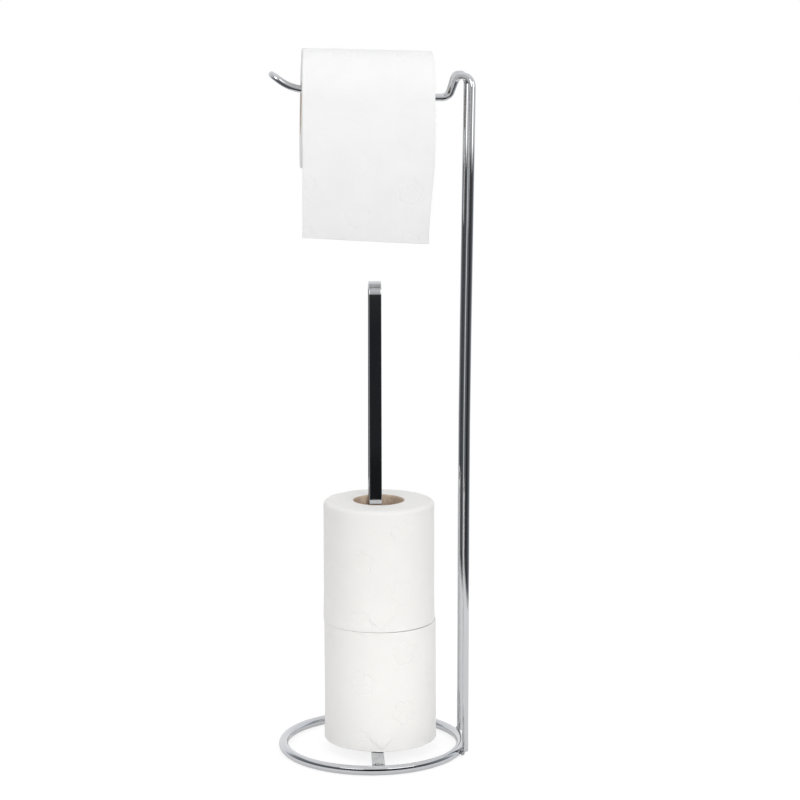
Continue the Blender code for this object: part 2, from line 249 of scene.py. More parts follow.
# The spare rolls' end-face colour is lighter than their sides: painted light on the top faces of the
# stack.
SPARE_TISSUE_PAINTED_SHADE = ((0.825, 0.818, 0.80), (0.81, 0.803, 0.785), (0.86, 0.855, 0.84))
TISSUE_ROUGHNESS = 0.92
TISSUE_SHEEN = 0.08
TISSUE_DOT_SCALE = 820.0
TISSUE_DOT_RANDOMNESS = 0.7
TISSUE_DOT_DEPTH = 0.00016
TISSUE_FIBRE_GRAIN = ((1, 1, 1), 1500.0, 4.0, 0.6)
TISSUE_FIBRE_DEPTH = 0.00010
TISSUE_CLOUD_GRAIN = ((1, 1, 1), 45.0)
TISSUE_CLOUD_RANGE = (0.3, 0.7)
END_FACE_FACING = (0.80, 0.95)
END_FACE_STREAKS = 3.0
END_FACE_STREAK_SCALE = 9.0
END_FACE_STREAK_RANGE = (0.35, 0.65)
END_FACE_STREAK_COLOUR = (0.45, 0.44, 0.42, 1)
END_FACE_STREAK_SHARE = 0.05
END_FACE_LAYERS = 90.0
END_FACE_LAYER_TURNS = 3.0
END_FACE_LAYER_SCALE = 1.0
END_FACE_LAYER_DEPTH = 0.0004
END_FACE_RADIUS = 0.05
OVER_HALF_TURN = 3.15

# Table and the dark screen round its front edge
TABLE_RADIUS = 0.53
TABLE_GAP = 0.0002
TABLE_STEPS = 96
TABLE_COLOUR = (0.78, 0.78, 0.78, 1)
CAMERA_TONE = 0.25
CAMERA_GLOW = 0.80
METAL_TONE = 0.60
METAL_GLOW = 0.30
SCREEN_STEPS = 120
SCREEN_HEIGHT = 0.450
SCREEN_COURSES = [((0.532, 0.0), (0.532, 0.620)), ((0.22, 0.11), (0.531, 0.440))]
SCREEN_FADE = 0.030
SCREEN_HALF_DEGREES = 130.0
SCREEN_TINT = (0.96, 1.0, 1.05)
SCREEN_FOOT_COLOUR = (0.75, 0.75, 0.75, 1)
SCREEN_LIFTS = [(0.17, (0, 0, 0)), (0.21, (0.022, 0.023, 0.025)), (0.31, (0.019, 0.021, 0.024)),
                (0.40, (0.060, 0.055, 0.050))]
SCREEN_SHADES = [(-130, 1.0), (-112, 0.33), (-95, 0.22), (-56, 0.14), (-20, 0.09), (-5, 0.014), (6, 0.014),
                 (20, 0.05), (48, 0.09), (64, 0.14), (95, 0.32), (112, 0.80), (130, 1.0)]
PANEL_SPANS = [(17, 0), (21, 1), (41, 1), (45, 0)]
PANEL_STRENGTH = 2.5

# Studio round the table: brightness by height of the direction, from -1 straight down to 1 straight up
FRONT_SKY = [(-1.0, (0.03, 0.03, 0.03)), (-0.20, (0.10, 0.10, 0.10)), (-0.10, (0.45, 0.45, 0.45)),
             (0.17, (0.48, 0.48, 0.48)), (0.39, (0.62, 0.62, 0.62)), (0.87, (0.85, 0.85, 0.84)),
             (1.0, (0.94, 0.94, 0.96))]
BACK_SKY = [(-1.0, (0.3, 0.3, 0.3)), (-0.2, (0.85, 0.85, 0.85)), (0.0, (1.0, 1.0, 1.0)),
            (1.0, (0.94, 0.94, 0.96))]
WINDOW_SKY = [(-1.0, (0, 0, 0)), (-0.12, (0, 0, 0)), (-0.08, (0.2, 0.2, 0.2)), (0.03, (0.2, 0.2, 0.2)),
              (0.08, (0, 0, 0)), (1.0, (0, 0, 0))]
FRONT_TO_BACK = (-0.4, 0.85)
WINDOW_SIDE = (0.05, 0.45)
WINDOW_ENDS_BEHIND = 0.6

# Lamps: name, azimuth, elevation, width and height in degrees, seen from the ring, then brightness and
# whether it only glints
LAMP_DISTANCE = 2.6
LAMPS = [
    ("lamp_left", -28.0, 18.0, 24.0, 22.0, 4.75, False),
    ("lamp_right", 34.0, 20.0, 26.0, 22.0, 5.5, False),
    ("glint_left", -31.0, 31.0, 25.0, 32.0, 3.0, True),
    ("glint_right", 42.0, 31.0, 30.0, 32.0, 3.0, True),
]


def mesh_piece(name, points, faces, material, has_poles=False):
    """A smooth mesh object whose faces point out. If it has poles, the points at each pole become one."""
    mesh = bpy.data.meshes.new(name)
    mesh.from_pydata([tuple(p) for p in points], [], [tuple(f) for f in faces])
    shape = bmesh.new()
    shape.from_mesh(mesh)
    if has_poles:
        bmesh.ops.remove_doubles(shape, verts=shape.verts, dist=SAME_PLACE)
    bmesh.ops.recalc_face_normals(shape, faces=shape.faces)
    shape.to_mesh(mesh)
    shape.free()
    mesh.shade_smooth()
    mesh.materials.append(material)
    piece = bpy.data.objects.new(name, mesh)
    bpy.context.scene.collection.objects.link(piece)
    return piece


def mark_drawn_lines(piece, around, along):
    """Stores where each point lies round and along its rod, for the fine lines that drawing leaves."""
    values = np.column_stack([np.asarray(around).reshape(-1, 2), np.asarray(along).reshape(-1)])
    marks = piece.data.attributes.new(DRAWN_LINES, "FLOAT_VECTOR", "POINT")
    marks.data.foreach_set("vector", values.astype(np.float32).ravel())


def dress(piece, body, slot, *nodes):
    """The piece rides on its body and stands for these solids, which are hidden. The slot is not used."""
    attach(piece, body)
    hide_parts(*nodes)
    return piece


def grid_faces(rows, columns, wrap_rows, wrap_columns):
    """Squares over a grid of points that may close on itself either way."""
    index = np.arange(rows * columns).reshape(rows, columns)
    if wrap_rows:
        index = np.vstack([index, index[:1]])
    if wrap_columns:
        index = np.hstack([index, index[:, :1]])
    corners = [index[:-1, :-1], index[1:, :-1], index[1:, 1:], index[:-1, 1:]]
    return np.stack(corners, -1).reshape(-1, 4).tolist()


def rod_faces(rows, columns):
    """Squares round a rod, with a face on each of its two ends."""
    last = (rows - 1) * columns
    ends = [list(range(columns)), list(range(last, last + columns))]
    return grid_faces(rows, columns, False, True) + ends


def tube_points(radii, heights):
    """Points round the Z axis, for radii and heights given row by row and turn by turn."""
    turn = np.linspace(0, math.tau, radii.shape[1], endpoint=False)[None, :]
    return np.stack([radii * np.cos(turn), radii * np.sin(turn), heights], -1).reshape(-1, 3)


def path_lengths(points):
    """Distance of each point from the start of the path."""
    lengths = [0.0]
    for before, after in zip(points, points[1:]):
        lengths.append(lengths[-1] + (after - before).length)
    return lengths


def path_directions(points):
    """Direction of the path at each of its points."""
    directions = []
    for i in range(len(points)):
        before = points[i] - points[max(i - 1, 0)]
        after = points[min(i + 1, len(points) - 1)] - points[i]
        directions.append((before.normalized() + after.normalized()).normalized())
    return directions


def rounded_path(corners, bends):
    """A polyline through the corners with each inner corner rounded, tightened where it has no room."""
    count = len(corners)
    cut_back = [0.0] * count
    turns = [0.0] * count
    for i in range(1, count - 1):
        before = (corners[i] - corners[i - 1]).normalized()
        after = (corners[i + 1] - corners[i]).normalized()
        turns[i] = before.angle(after, 0.0)
        cut_back[i] = bends[i] * math.tan(turns[i] / 2)
    for i in range(count - 1):
        room = (corners[i + 1] - corners[i]).length * BEND_ROOM_SHARE
        wanted = cut_back[i] + cut_back[i + 1]
        if wanted > room:
            cut_back[i] *= room / wanted
            cut_back[i + 1] *= room / wanted
    points = [corners[0].copy()]
    for i in range(1, count - 1):
        before = (corners[i] - corners[i - 1]).normalized()
        after = (corners[i + 1] - corners[i]).normalized()
        steps = max(2, math.ceil(math.degrees(turns[i]) / BEND_STEP_DEGREES))
        radius = cut_back[i] / math.tan(turns[i] / 2)
        start = corners[i] - before * cut_back[i]
        inward = (after - before * before.dot(after)).normalized()
        for step in range(steps + 1):
            angle = turns[i] * step / steps
            along = before * math.sin(angle) + inward * (1 - math.cos(angle))
            points.append(start + along * radius)
    points.append(corners[-1].copy())
    return points


def divided_path(points, longest):
    """The same path with its long straight stretches cut, so that the shading stays true along them."""
    divided = [points[0]]
    for before, after in zip(points, points[1:]):
        steps = max(1, math.ceil((after - before).length / longest))
        divided += [before.lerp(after, step / steps) for step in range(1, steps + 1)]
    return divided


def mirrored_path(front):
    """Path through the front's corners, each with its bend, and back through their images at the back."""
    back = [(Vector((corner.x, -corner.y, corner.z)), bend) for corner, bend in reversed(front)]
    both = front + back
    path = rounded_path([corner for corner, bend in both], [bend for corner, bend in both])
    return divided_path(path, LONGEST_STEP)


def base_ring_radius():
    """Radius of the ring's centre line, from its solid."""
    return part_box("base_ring")[1].x - RING_ROD_RADIUS


def ring_piece(look):
    """The round rod of the base, flat where it stands on the floor."""
    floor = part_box("base_ring")[0].z
    ring_radius = base_ring_radius()
    turn = np.linspace(0, math.tau, RING_STEPS, endpoint=False)[:, None]
    side = np.linspace(0, math.tau, RING_SIDES, endpoint=False)[None, :]
    away = ring_radius + RING_ROD_RADIUS * np.cos(side)
    height = np.maximum(RING_AXIS_HEIGHT + RING_ROD_RADIUS * np.sin(side), floor)
    points = np.stack([away * np.cos(turn), away * np.sin(turn), height + 0 * turn], -1)
    faces = grid_faces(RING_STEPS, RING_SIDES, True, True)
    piece = mesh_piece("ring_rod", points.reshape(-1, 3), faces, look)
    around = np.stack([np.cos(side) + 0 * turn, np.sin(side) + 0 * turn], -1) * RING_ROD_RADIUS
    mark_drawn_lines(piece, around, turn * ring_radius + 0 * side)
    return dress(piece, "holder", "chrome", "base_ring")


def frame_path():
    """Centre line of the wire: up from its front foot, along the arm, round the tip and back again."""
    foot_distance = base_ring_radius() + RING_ROD_RADIUS + CLEARANCE + WIRE_RADIUS
    foot_x = math.sqrt(foot_distance ** 2 - FOOT_HALF_SPACING ** 2)
    shoulder_x = foot_x + UPRIGHT_LEAN
    hump_x = shoulder_x - HUMP_LENGTH
    rise_x = hump_x - HUMP_SLOPE_RUN
    hump_height = ARM_HEIGHT + HUMP_RISE
    climb_height = ARM_HEIGHT + ARM_CLIMB
    level_end_x = rise_x - (rise_x + ARM_REACH) * ARM_LEVEL_SHARE
    bow_y = (FOOT_HALF_SPACING + SHOULDER_HALF_SPACING) / 2
    return mirrored_path([
        (Vector((foot_x, -FOOT_HALF_SPACING, FOOT_HEIGHT)), 0),
        (Vector((foot_x, -bow_y, hump_height * BOW_HEIGHT_SHARE)), UPRIGHT_BOW_RADIUS),
        (Vector((shoulder_x, -SHOULDER_HALF_SPACING, hump_height)), SHOULDER_BEND),
        (Vector((hump_x, -HUMP_HALF_SPACING, hump_height)), HUMP_BEND),
        (Vector((rise_x, -ARM_HALF_SPACING, ARM_HEIGHT)), RISE_BEND),
        (Vector((level_end_x, -ARM_HALF_SPACING, ARM_HEIGHT)), ARM_BEND),
        (Vector((TIP_RUN - ARM_REACH, -ARM_HALF_SPACING, climb_height)), TIP_BEND),
        (Vector((-ARM_REACH, -ARM_HALF_SPACING, climb_height + TIP_RISE)), ARM_HALF_SPACING),
    ])


def frame_piece(look):
    """The wire, round all along, with its two sawn feet eased at the edge."""
    points = frame_path()
    first, *_, last = path_directions(points)
    end_radii = [WIRE_RADIUS - WIRE_END_EDGE * less for less, along in WIRE_END_SHAPE]
    centres = [points[0] + first * WIRE_END_EDGE * along for less, along in WIRE_END_SHAPE]
    centres += points[1:-1]
    centres += [points[-1] - last * WIRE_END_EDGE * along for less, along in reversed(WIRE_END_SHAPE)]
    radii = end_radii + [WIRE_RADIUS] * (len(points) - 2) + end_radii[::-1]
    directions = path_directions(centres)
    across = Vector((0, 1, 0)).cross(directions[0]).normalized()
    rings = []
    for centre, direction, radius in zip(centres, directions, radii):
        across = (across - direction * across.dot(direction)).normalized()
        upward = direction.cross(across)
        for side in range(WIRE_SIDES):
            angle = math.tau * side / WIRE_SIDES
            rings.append(centre + (across * math.cos(angle) + upward * math.sin(angle)) * radius)
    piece = mesh_piece("bent_wire", rings, rod_faces(len(centres), WIRE_SIDES), look)
    turn = np.arange(WIRE_SIDES) * math.tau / WIRE_SIDES
    around = np.stack([np.cos(turn), np.sin(turn)], -1) * WIRE_RADIUS
    along = np.repeat(path_lengths(centres), WIRE_SIDES)
    mark_drawn_lines(piece, np.tile(around, (len(centres), 1)), along)
    return dress(piece, "holder", "chrome", "arm_frame")


def strip_path(post_height):
    """Centre line of the strip in the plane of Y and Z, from the front of the ring to the back of it."""
    half = STRIP_THICKNESS / 2
    end_height = STRAP_END_TOP - half
    above_axis = end_height - RING_AXIS_HEIGHT
    ring_side = math.sqrt((RING_ROD_RADIUS + CLEARANCE) ** 2 - above_axis ** 2)
    inner_side = base_ring_radius() - ring_side - half
    return mirrored_path([
        (Vector((0, -inner_side, end_height)), 0),
        (Vector((0, -inner_side * STRAP_SHOULDER_SHARE, STRAP_TOP - half)), STRAP_BEND),
        (Vector((0, -POST_HALF_SPACING, STRAP_TOP - half)), POST_FOOT_BEND),
        (Vector((0, -POST_HALF_SPACING, post_height * POST_KNEE_SHARE)), POST_KNEE_BEND),
        (Vector((0, -POST_LOOP_RADIUS, post_height - half)), POST_LOOP_RADIUS),
    ])


def strip_section(width):
    """Section of the strip: flat faces and rounded edges, as (across, through)."""
    half_width = width / 2 - STRIP_EDGE
    half_thick = STRIP_THICKNESS / 2 - STRIP_EDGE
    flat_end = half_width - STRIP_EDGE / 2
    section = []
    for number, (side_x, side_y) in enumerate([(1, 1), (-1, 1), (-1, -1), (1, -1)]):
        for step in range(STRIP_EDGE_STEPS + 1):
            angle = math.pi / 2 * (number + step / STRIP_EDGE_STEPS)
            section.append((side_x * half_width + STRIP_EDGE * math.cos(angle),
                            side_y * half_thick + STRIP_EDGE * math.sin(angle)))
        if number in (0, 2):
            section.append((side_x * flat_end, side_y * STRIP_THICKNESS / 2))
            section.append((-side_x * flat_end, side_y * STRIP_THICKNESS / 2))
    return section


def post_piece(look):
    """The flat strip: two straps out to the ring and a tall loop between them."""
    low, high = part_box("spare_roll_post")
    middle = (low.x + high.x) / 2
    section = strip_section(high.x - low.x)
    points = strip_path(high.z)
    rings = []
    for point, direction in zip(points, path_directions(points)):
        outward = Vector((1, 0, 0)).cross(direction)
        for across, through in section:
            rings.append(point + outward * through + Vector((middle + across, 0, 0)))
    piece = mesh_piece("bent_strip", rings, rod_faces(len(points), len(section)), look)
    along = np.repeat(path_lengths(points), len(section))
    mark_drawn_lines(piece, np.tile(section, (len(points), 1)), along)
    return dress(piece, "holder", "chrome", "spare_roll_post")


def smooth_noise(across, along, seed, turns, rises):
    """A smooth, repeatable waviness that closes round a full turn: a sum of sines, about 1 high."""
    dice = np.random.default_rng(seed)
    total = 0
    for wave in range(NOISE_WAVES):
        phase = dice.uniform(0, math.tau)
        turned = dice.integers(1, turns + 1) * across
        risen = dice.uniform(-rises, rises) * along
        total = total + np.sin(turned + risen + phase)
    return total / math.sqrt(NOISE_WAVES)


def smooth_step(value, low, high):
    """0 below the low value, 1 above the high one, and a soft rise between them."""
    share = np.clip((value - low) / (high - low), 0, 1)
    return share * share * (3 - 2 * share)


def weld_piece(node, seed, look):
    """A lumpy bead in the place of its solid, grown a little so that it runs into the steel."""
    low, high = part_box(node)
    centre = (low + high) / 2
    reach = (high - low) / 2 * WELD_GROWTH
    down = np.linspace(0, math.pi, WELD_ROWS)[:, None]
    turn = np.linspace(0, math.tau, WELD_COLUMNS, endpoint=False)[None, :]
    lumps = 1 + WELD_LUMPS * smooth_noise(turn, down, seed, turns=4, rises=6.0) * np.sin(down)
    points = np.stack([
        centre.x + reach.x * lumps * np.sin(down) * np.cos(turn),
        centre.y + reach.y * lumps * np.sin(down) * np.sin(turn),
        centre.z + reach.z * lumps * np.cos(down) + 0 * turn,
    ], -1)
    faces = grid_faces(WELD_ROWS, WELD_COLUMNS, False, True)
    piece = mesh_piece("bead_" + node, points.reshape(-1, 3), faces, look, has_poles=True)
    return dress(piece, "holder", "weld", node)


def blossom_places(around, length, shift):
    """Centres and turns of the blossoms on a surface of this size, in staggered columns."""
    columns = max(2, 2 * round(around / BLOSSOM_PITCH / 2 / BLOSSOM_COLUMN_SHARE))
    rows = max(1, round(length / BLOSSOM_PITCH))
    places = []
    for column in range(columns):
        for row in range(-1, rows + 1):
            u = around * (column + 0.5) / columns
            v = length * (row + 0.5 + 0.5 * (column % 2)) / rows + shift
            places.append((u, v, BLOSSOM_TURN_BY_COLUMN * column + BLOSSOM_TURN_BY_ROW * row))
    return places


def blossom_relief(around, along, places, total_around=None):
    """How deep the surface is pressed in, from 0 to 1: open blossoms with parted petals and dots."""
    pressed = np.zeros(np.broadcast(around, along).shape)
    for u, v, turn in places:
        du = around - u
        if total_around:
            du = (du + total_around / 2) % total_around - total_around / 2
        dv = along - v
        far = np.hypot(du, dv)
        angle = np.arctan2(dv, du) + turn
        lobe = np.abs(np.cos(angle * BLOSSOM_PETALS / 2))
        petal = BLOSSOM_RADIUS * (BLOSSOM_WAIST + (1 - BLOSSOM_WAIST) * np.sqrt(lobe))
        outline = np.exp(-((far - petal) / BLOSSOM_LINE) ** 2)
        parting = np.exp(-(lobe * far * PARTING_SPREAD / BLOSSOM_LINE) ** 2)
        off_middle = np.abs(far / BLOSSOM_RADIUS - PARTING_MIDDLE)
        parting = parting * np.clip(1 - off_middle / PARTING_REACH, 0, 1)
        off_ring = far - BLOSSOM_RADIUS * DOT_DISTANCE
        off_dot = far * np.sin(angle * DOT_COUNT / 2) * DOT_SPREAD
        dots = np.exp(-(off_ring ** 2 + off_dot ** 2) / BLOSSOM_LINE ** 2)
        pressed = np.maximum(pressed, np.maximum(outline, np.maximum(dots, parting)))
    return pressed


def tucked_end(around, height):
    """The folded-in last sheet of a spare roll: a V that points down, 1 where it stands out most."""
    inside = (height - TUCK_POINT_HEIGHT) - np.abs(around) * TUCK_SLOPE
    flap = smooth_step(inside, 0, TUCK_CREASE)
    flap = flap * (1 - smooth_step(height, TUCK_HEIGHT * TUCK_FADE_SHARE, TUCK_HEIGHT))
    fold = smooth_step(TUCK_FOLD_WIDTH - np.abs(around - TUCK_FOLD_OFF), 0, TUCK_CREASE)
    fold = fold * (1 - smooth_step(height, TUCK_FOLD_HEIGHT * TUCK_FOLD_FADE_SHARE, TUCK_FOLD_HEIGHT))
    return TUCK_FLAP_SHARE * flap + (1 - TUCK_FLAP_SHARE) * fold


def paper_profile(radius, length, bottom_edge, top_edge):
    """Outline of the wound paper as (radius, height): out along one face, up the side and back in."""
    bend = np.linspace(0, math.pi / 2, ROLL_EDGE_ROWS)[1:-1]
    bottom = np.linspace(CORE_RADIUS, radius - bottom_edge, ROLL_FACE_ROWS)
    top = np.linspace(radius - top_edge, CORE_RADIUS, ROLL_FACE_ROWS)
    side = np.linspace(bottom_edge, length - top_edge, ROLL_ROWS)
    radii = [bottom, radius - bottom_edge + bottom_edge * np.sin(bend), 0 * side + radius,
             radius - top_edge + top_edge * np.cos(bend), top]
    heights = [0 * bottom, bottom_edge - bottom_edge * np.cos(bend), side,
               length - top_edge + top_edge * np.sin(bend), 0 * top + length]
    return np.concatenate(radii), np.concatenate(heights)


def paper_piece(name, node, matrix, size, edges, seed, body, look, tucked=False):
    """Wound paper: soft sides pressed with blossoms, and end faces that ripple where the layers lie."""
    radius, length = size
    radii, heights = paper_profile(radius, length, *edges)
    turn = np.linspace(0, math.tau, ROLL_STEPS, endpoint=False)[None, :]
    r = radii[:, None] + 0 * turn
    z = heights[:, None] + 0 * turn
    out = np.clip((r - CORE_RADIUS) / (radius - CORE_RADIUS), 0, 1)
    on_side = smooth_step(out, ROLL_SIDE_FROM, ROLL_SIDE_FULL)
    around = math.tau * radius
    pressed = blossom_relief(turn * radius, z, blossom_places(around, length, ROLL_BLOSSOM_SHIFT), around)
    uneven = ROLL_PRESS_VARIES * smooth_noise(turn, z, seed + 1, turns=3, rises=30.0)
    pressed = pressed * np.clip(ROLL_PRESS_USUAL + uneven, ROLL_PRESS_LEAST, ROLL_PRESS_MOST)
    soft = smooth_noise(turn, z, seed, turns=5, rises=45.0)
    r = r + on_side * (ROLL_SOFTNESS * soft - ROLL_PRESS_DEPTH * pressed)
    if tucked:
        off_front = (turn - math.radians(TUCK_TURN_DEGREES) + math.pi) % math.tau - math.pi
        r = r + on_side * TUCK_STEP * tucked_end(off_front * radius, z)
        r = r + ROLL_FLARE * out * (1 - smooth_step(z, 0, ROLL_FLARE_HEIGHT))
    inward = np.where(heights < length / 2, 1, -1)[:, None]
    layers = smooth_noise(turn, out * FACE_RIPPLE_STRETCH, seed + 2, turns=9, rises=30.0)
    off_core = np.clip(out / FACE_RIPPLE_FULL_FROM, 0, 1)
    z = z + inward * (1 - on_side) * FACE_RIPPLE * (layers + 1.0) * off_core
    faces = grid_faces(len(radii), ROLL_STEPS, True, True)
    piece = mesh_piece(name, tube_points(r, z), faces, look)
    piece.matrix_world = matrix
    return dress(piece, body, "tissue", node)


def core_piece(name, node, matrix, length, body, look):
    """Kraft-board tube with the spiral seam of its outer ply."""
    wall = np.linspace(CORE_BORE_RADIUS, CORE_RADIUS, CORE_WALL_ROWS)
    side = np.linspace(0, length, CORE_SIDE_ROWS)
    radii = np.concatenate([wall[:-1], 0 * side + CORE_RADIUS, wall[::-1][1:-1],
                            0 * side[:-1] + CORE_BORE_RADIUS])
    heights = np.concatenate([0 * wall[:-1], side, 0 * wall[1:-1] + length, side[::-1][:-1]])
    turn = np.linspace(0, math.tau, CORE_STEPS, endpoint=False)[None, :]
    r = radii[:, None] + 0 * turn
    z = heights[:, None] + 0 * turn
    place = (z / CORE_SEAM_PITCH - turn / math.tau) % 1.0
    off_seam = np.minimum(place, 1 - place) * CORE_SEAM_PITCH
    inside = (radii < CORE_RADIUS)[:, None]
    r = r + CORE_SEAM_DEPTH * np.exp(-(off_seam / CORE_SEAM_WIDTH) ** 2) * inside
    faces = grid_faces(len(radii), CORE_STEPS, True, True)
    piece = mesh_piece(name, tube_points(r, z), faces, look)
    piece.matrix_world = matrix
    return dress(piece, body, "kraft_board", node)


def make_spare_roll(name, top_edge, seed, look, board):
    """One of the two rolls on the post, in the place of its solids."""
    low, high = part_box(name + "_paper")
    matrix = Matrix.Translation(Vector(((low.x + high.x) / 2, (low.y + high.y) / 2, low.z)))
    size = ((high.y - low.y) / 2, high.z - low.z)
    core_piece("core_" + name, name + "_core", matrix, size[1], name, board)
    paper_piece("wound_paper_" + name, name + "_paper", matrix, size, (SPARE_ROLL_BOTTOM_EDGE, top_edge),
                seed, name, look, tucked=True)


def spin_joint():
    """The hinge of the hanging roll."""
    return next(joint for joint in frame["joints"] if joint["name"] == "roll_spin")


def roll_axis():
    """Left end of the hanging roll's axis, and its direction."""
    joint = spin_joint()
    axis = Vector(joint["axis"]).normalized()
    middle = Vector(joint["pos_m"])
    return middle + axis * (HANGING_ROLL_LEFT_END - middle.x) / axis.x, axis


def make_hanging_roll(look, board):
    """The wound roll on the arm and its core, without the loose end."""
    left_end, axis = roll_axis()
    matrix = Matrix.Translation(left_end) @ UP.rotation_difference(axis).to_matrix().to_4x4()
    size = (HANGING_ROLL_RADIUS, HANGING_ROLL_LENGTH)
    core_piece("core_hanging_roll", "hanging_roll_core", matrix, HANGING_ROLL_LENGTH, "hanging_roll",
               board)
    paper_piece("wound_paper_hanging", "hanging_roll_paper", matrix, size,
                (HANGING_ROLL_EDGE, HANGING_ROLL_EDGE), HANGING_ROLL_SEED, "hanging_roll", look)


def hidden_length():
    """Length of the loose end's start, which lies on the roll."""
    return math.radians(SHEET_HIDDEN_DEGREES) * HANGING_ROLL_RADIUS


def sheet_length():
    """Length of the loose end when flat."""
    return hidden_length() + SHEET_HANG


def sheet_course(share):
    """Course of the loose end down the roll's front: share 0 lies hidden on the roll, 1 is its end.

    Gives the distances forward of the roll's axis and above it of the part that lies on the roll, those
    that the hanging part adds, and the share of the hanging part.
    """
    run = share * sheet_length()
    leaves = math.radians(SHEET_LEAVES_DEGREES)
    lies = np.clip(run / hidden_length(), 0, 1)
    angle = leaves + math.radians(SHEET_HIDDEN_DEGREES) * (1 - lies)
    radius = HANGING_ROLL_RADIUS + SHEET_THICKNESS - SHEET_SINK * (1 - lies) ** 2
    down = np.clip((run - hidden_length()) / SHEET_HANG, 0, 1)
    steps = np.linspace(0, 1, SHEET_COURSE_STEPS)
    slope = leaves + (math.radians(SHEET_ENDS_DEGREES) - leaves) * steps
    forward = np.concatenate([[0], np.cumsum(np.sin(slope[:-1]))]) * SHEET_HANG / len(steps)
    below = np.concatenate([[0], np.cumsum(np.cos(slope[:-1]))]) * SHEET_HANG / len(steps)
    lying = radius * np.cos(angle), radius * np.sin(angle)
    hanging = np.interp(down, steps, forward), -np.interp(down, steps, below)
    return lying, hanging, down


def sheet_relief(across, run, down):
    """How deep the loose end is pressed in: blossoms that fade where it leaves the roll."""
    places = blossom_places(HANGING_ROLL_LENGTH * SHEET_BLOSSOM_WIDTH_SHARE, SHEET_BLOSSOM_LENGTH,
                            SHEET_BLOSSOM_SHIFT_DOWN)
    growing = SHEET_PRESS_LEAST + (1 - SHEET_PRESS_LEAST) * smooth_step(down, *SHEET_PRESS_GROWS)
    fading = smooth_step(down, *SHEET_PRESS_STARTS) * growing
    return blossom_relief(across * HANGING_ROLL_LENGTH + SHEET_BLOSSOM_SHIFT_ACROSS, run, places) * fading


def sheet_middle():
    """Grid of points halfway through the loose end's thickness, row by row down the roll's front."""
    left_end, axis = roll_axis()
    share = np.linspace(0, 1, SHEET_ROWS)[:, None]
    across = np.linspace(0, 1, SHEET_COLUMNS)[None, :]
    lying, hanging, down = sheet_course(share)
    front = (Vector((0, -1, 0)) + axis * axis.y).normalized()
    lift = front.cross(axis)
    into_curl = np.clip(1 - (1 - across) / SHEET_CURL_WIDTH_SHARE, 0, 1)
    curl = SHEET_CURL_DEPTH * (into_curl * down) ** 2
    slant = HANGING_ROLL_LENGTH * (across - 0.5) * math.tan(math.radians(SHEET_SLANT_DEGREES)) * down
    run = share * sheet_length() + 0 * across
    pressed = SHEET_PRESS_DEPTH * sheet_relief(across, run, down)
    waves = smooth_noise(across * SHEET_WAVES_ACROSS, run, SHEET_WAVES_SEED, turns=3, rises=60.0)
    torn = smooth_noise(across * SHEET_TORN_ACROSS, 0 * run, SHEET_TORN_SEED, turns=9, rises=1.0)
    torn = SHEET_TORN * torn * smooth_step(down, SHEET_TORN_FROM, 1)
    narrowing = SHEET_NARROWING * into_curl ** 2 * smooth_step(down, SHEET_NARROWS_FROM, SHEET_NARROWS_TO)
    along = across * HANGING_ROLL_LENGTH
    middle = np.stack([along * axis[i] + lying[0] * front[i] + lying[1] * lift[i] + left_end[i]
                       for i in range(3)], -1)
    middle[..., 0] -= narrowing + SHEET_LEAN * down
    middle[..., 1] += curl - hanging[0] + SHEET_WAVES * waves * down + pressed
    middle[..., 2] += hanging[1] - slant + torn
    return middle


def sheet_piece(look):
    """The loose end of the hanging roll: it leaves the front, bows forward and curls at the right."""
    middle = sheet_middle()
    normal = np.cross(np.gradient(middle, axis=0), np.gradient(middle, axis=1))
    normal /= np.linalg.norm(normal, axis=-1, keepdims=True)
    normal *= np.sign(-normal[..., 1:2])
    count = SHEET_ROWS * SHEET_COLUMNS
    faces = grid_faces(SHEET_ROWS, SHEET_COLUMNS, False, False)
    faces += [[i + count for i in face] for face in faces]
    index = np.arange(count).reshape(SHEET_ROWS, SHEET_COLUMNS)
    rim = np.concatenate([index[0, :-1], index[:-1, -1], index[-1, :0:-1], index[:0:-1, 0]])
    for near, far in zip(rim.tolist(), np.roll(rim, -1).tolist()):
        faces.append([near, far, far + count, near + count])
    sides = [middle + normal * SHEET_THICKNESS / 2, middle - normal * SHEET_THICKNESS / 2]
    points = np.concatenate([side.reshape(-1, 3) for side in sides])
    piece = mesh_piece("loose_end", points, faces, look)
    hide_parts("hanging_sheet")
    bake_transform(piece)
    return piece


def new_look(name, colour, roughness, metallic=0.0):
    """A material and its Principled shader."""
    look = bpy.data.materials.new(name)
    look.use_nodes = True
    shader = look.node_tree.nodes["Principled BSDF"]
    shader.inputs["Base Color"].default_value = (*colour, 1.0)
    shader.inputs["Roughness"].default_value = roughness
    shader.inputs["Metallic"].default_value = metallic
    return look, shader


def empty_look(name):
    """A material without any node yet."""
    look = bpy.data.materials.new(name)
    look.use_nodes = True
    look.node_tree.nodes.clear()
    return look


def add_node(tree, kind, inputs=(), **settings):
    """A node with its settings, and its inputs set to values or linked to other nodes' sockets."""
    made = tree.nodes.new(kind)
    for name, value in settings.items():
        setattr(made, name, value)
    for name, value in dict(inputs).items():
        if isinstance(value, bpy.types.NodeSocket):
            tree.links.new(value, made.inputs[name])
        else:
            made.inputs[name].default_value = value
    return made


def calculated(tree, operation, *values):
    """Result of a Math node."""
    return add_node(tree, "ShaderNodeMath", dict(enumerate(values)), operation=operation).outputs[0]


def map_range(tree, value, low, high, to_low=0.0, to_high=1.0):
    """The value brought from one range to another."""
    return add_node(tree, "ShaderNodeMapRange", {
        "Value": value, "From Min": low, "From Max": high, "To Min": to_low, "To Max": to_high,
    }).outputs["Result"]


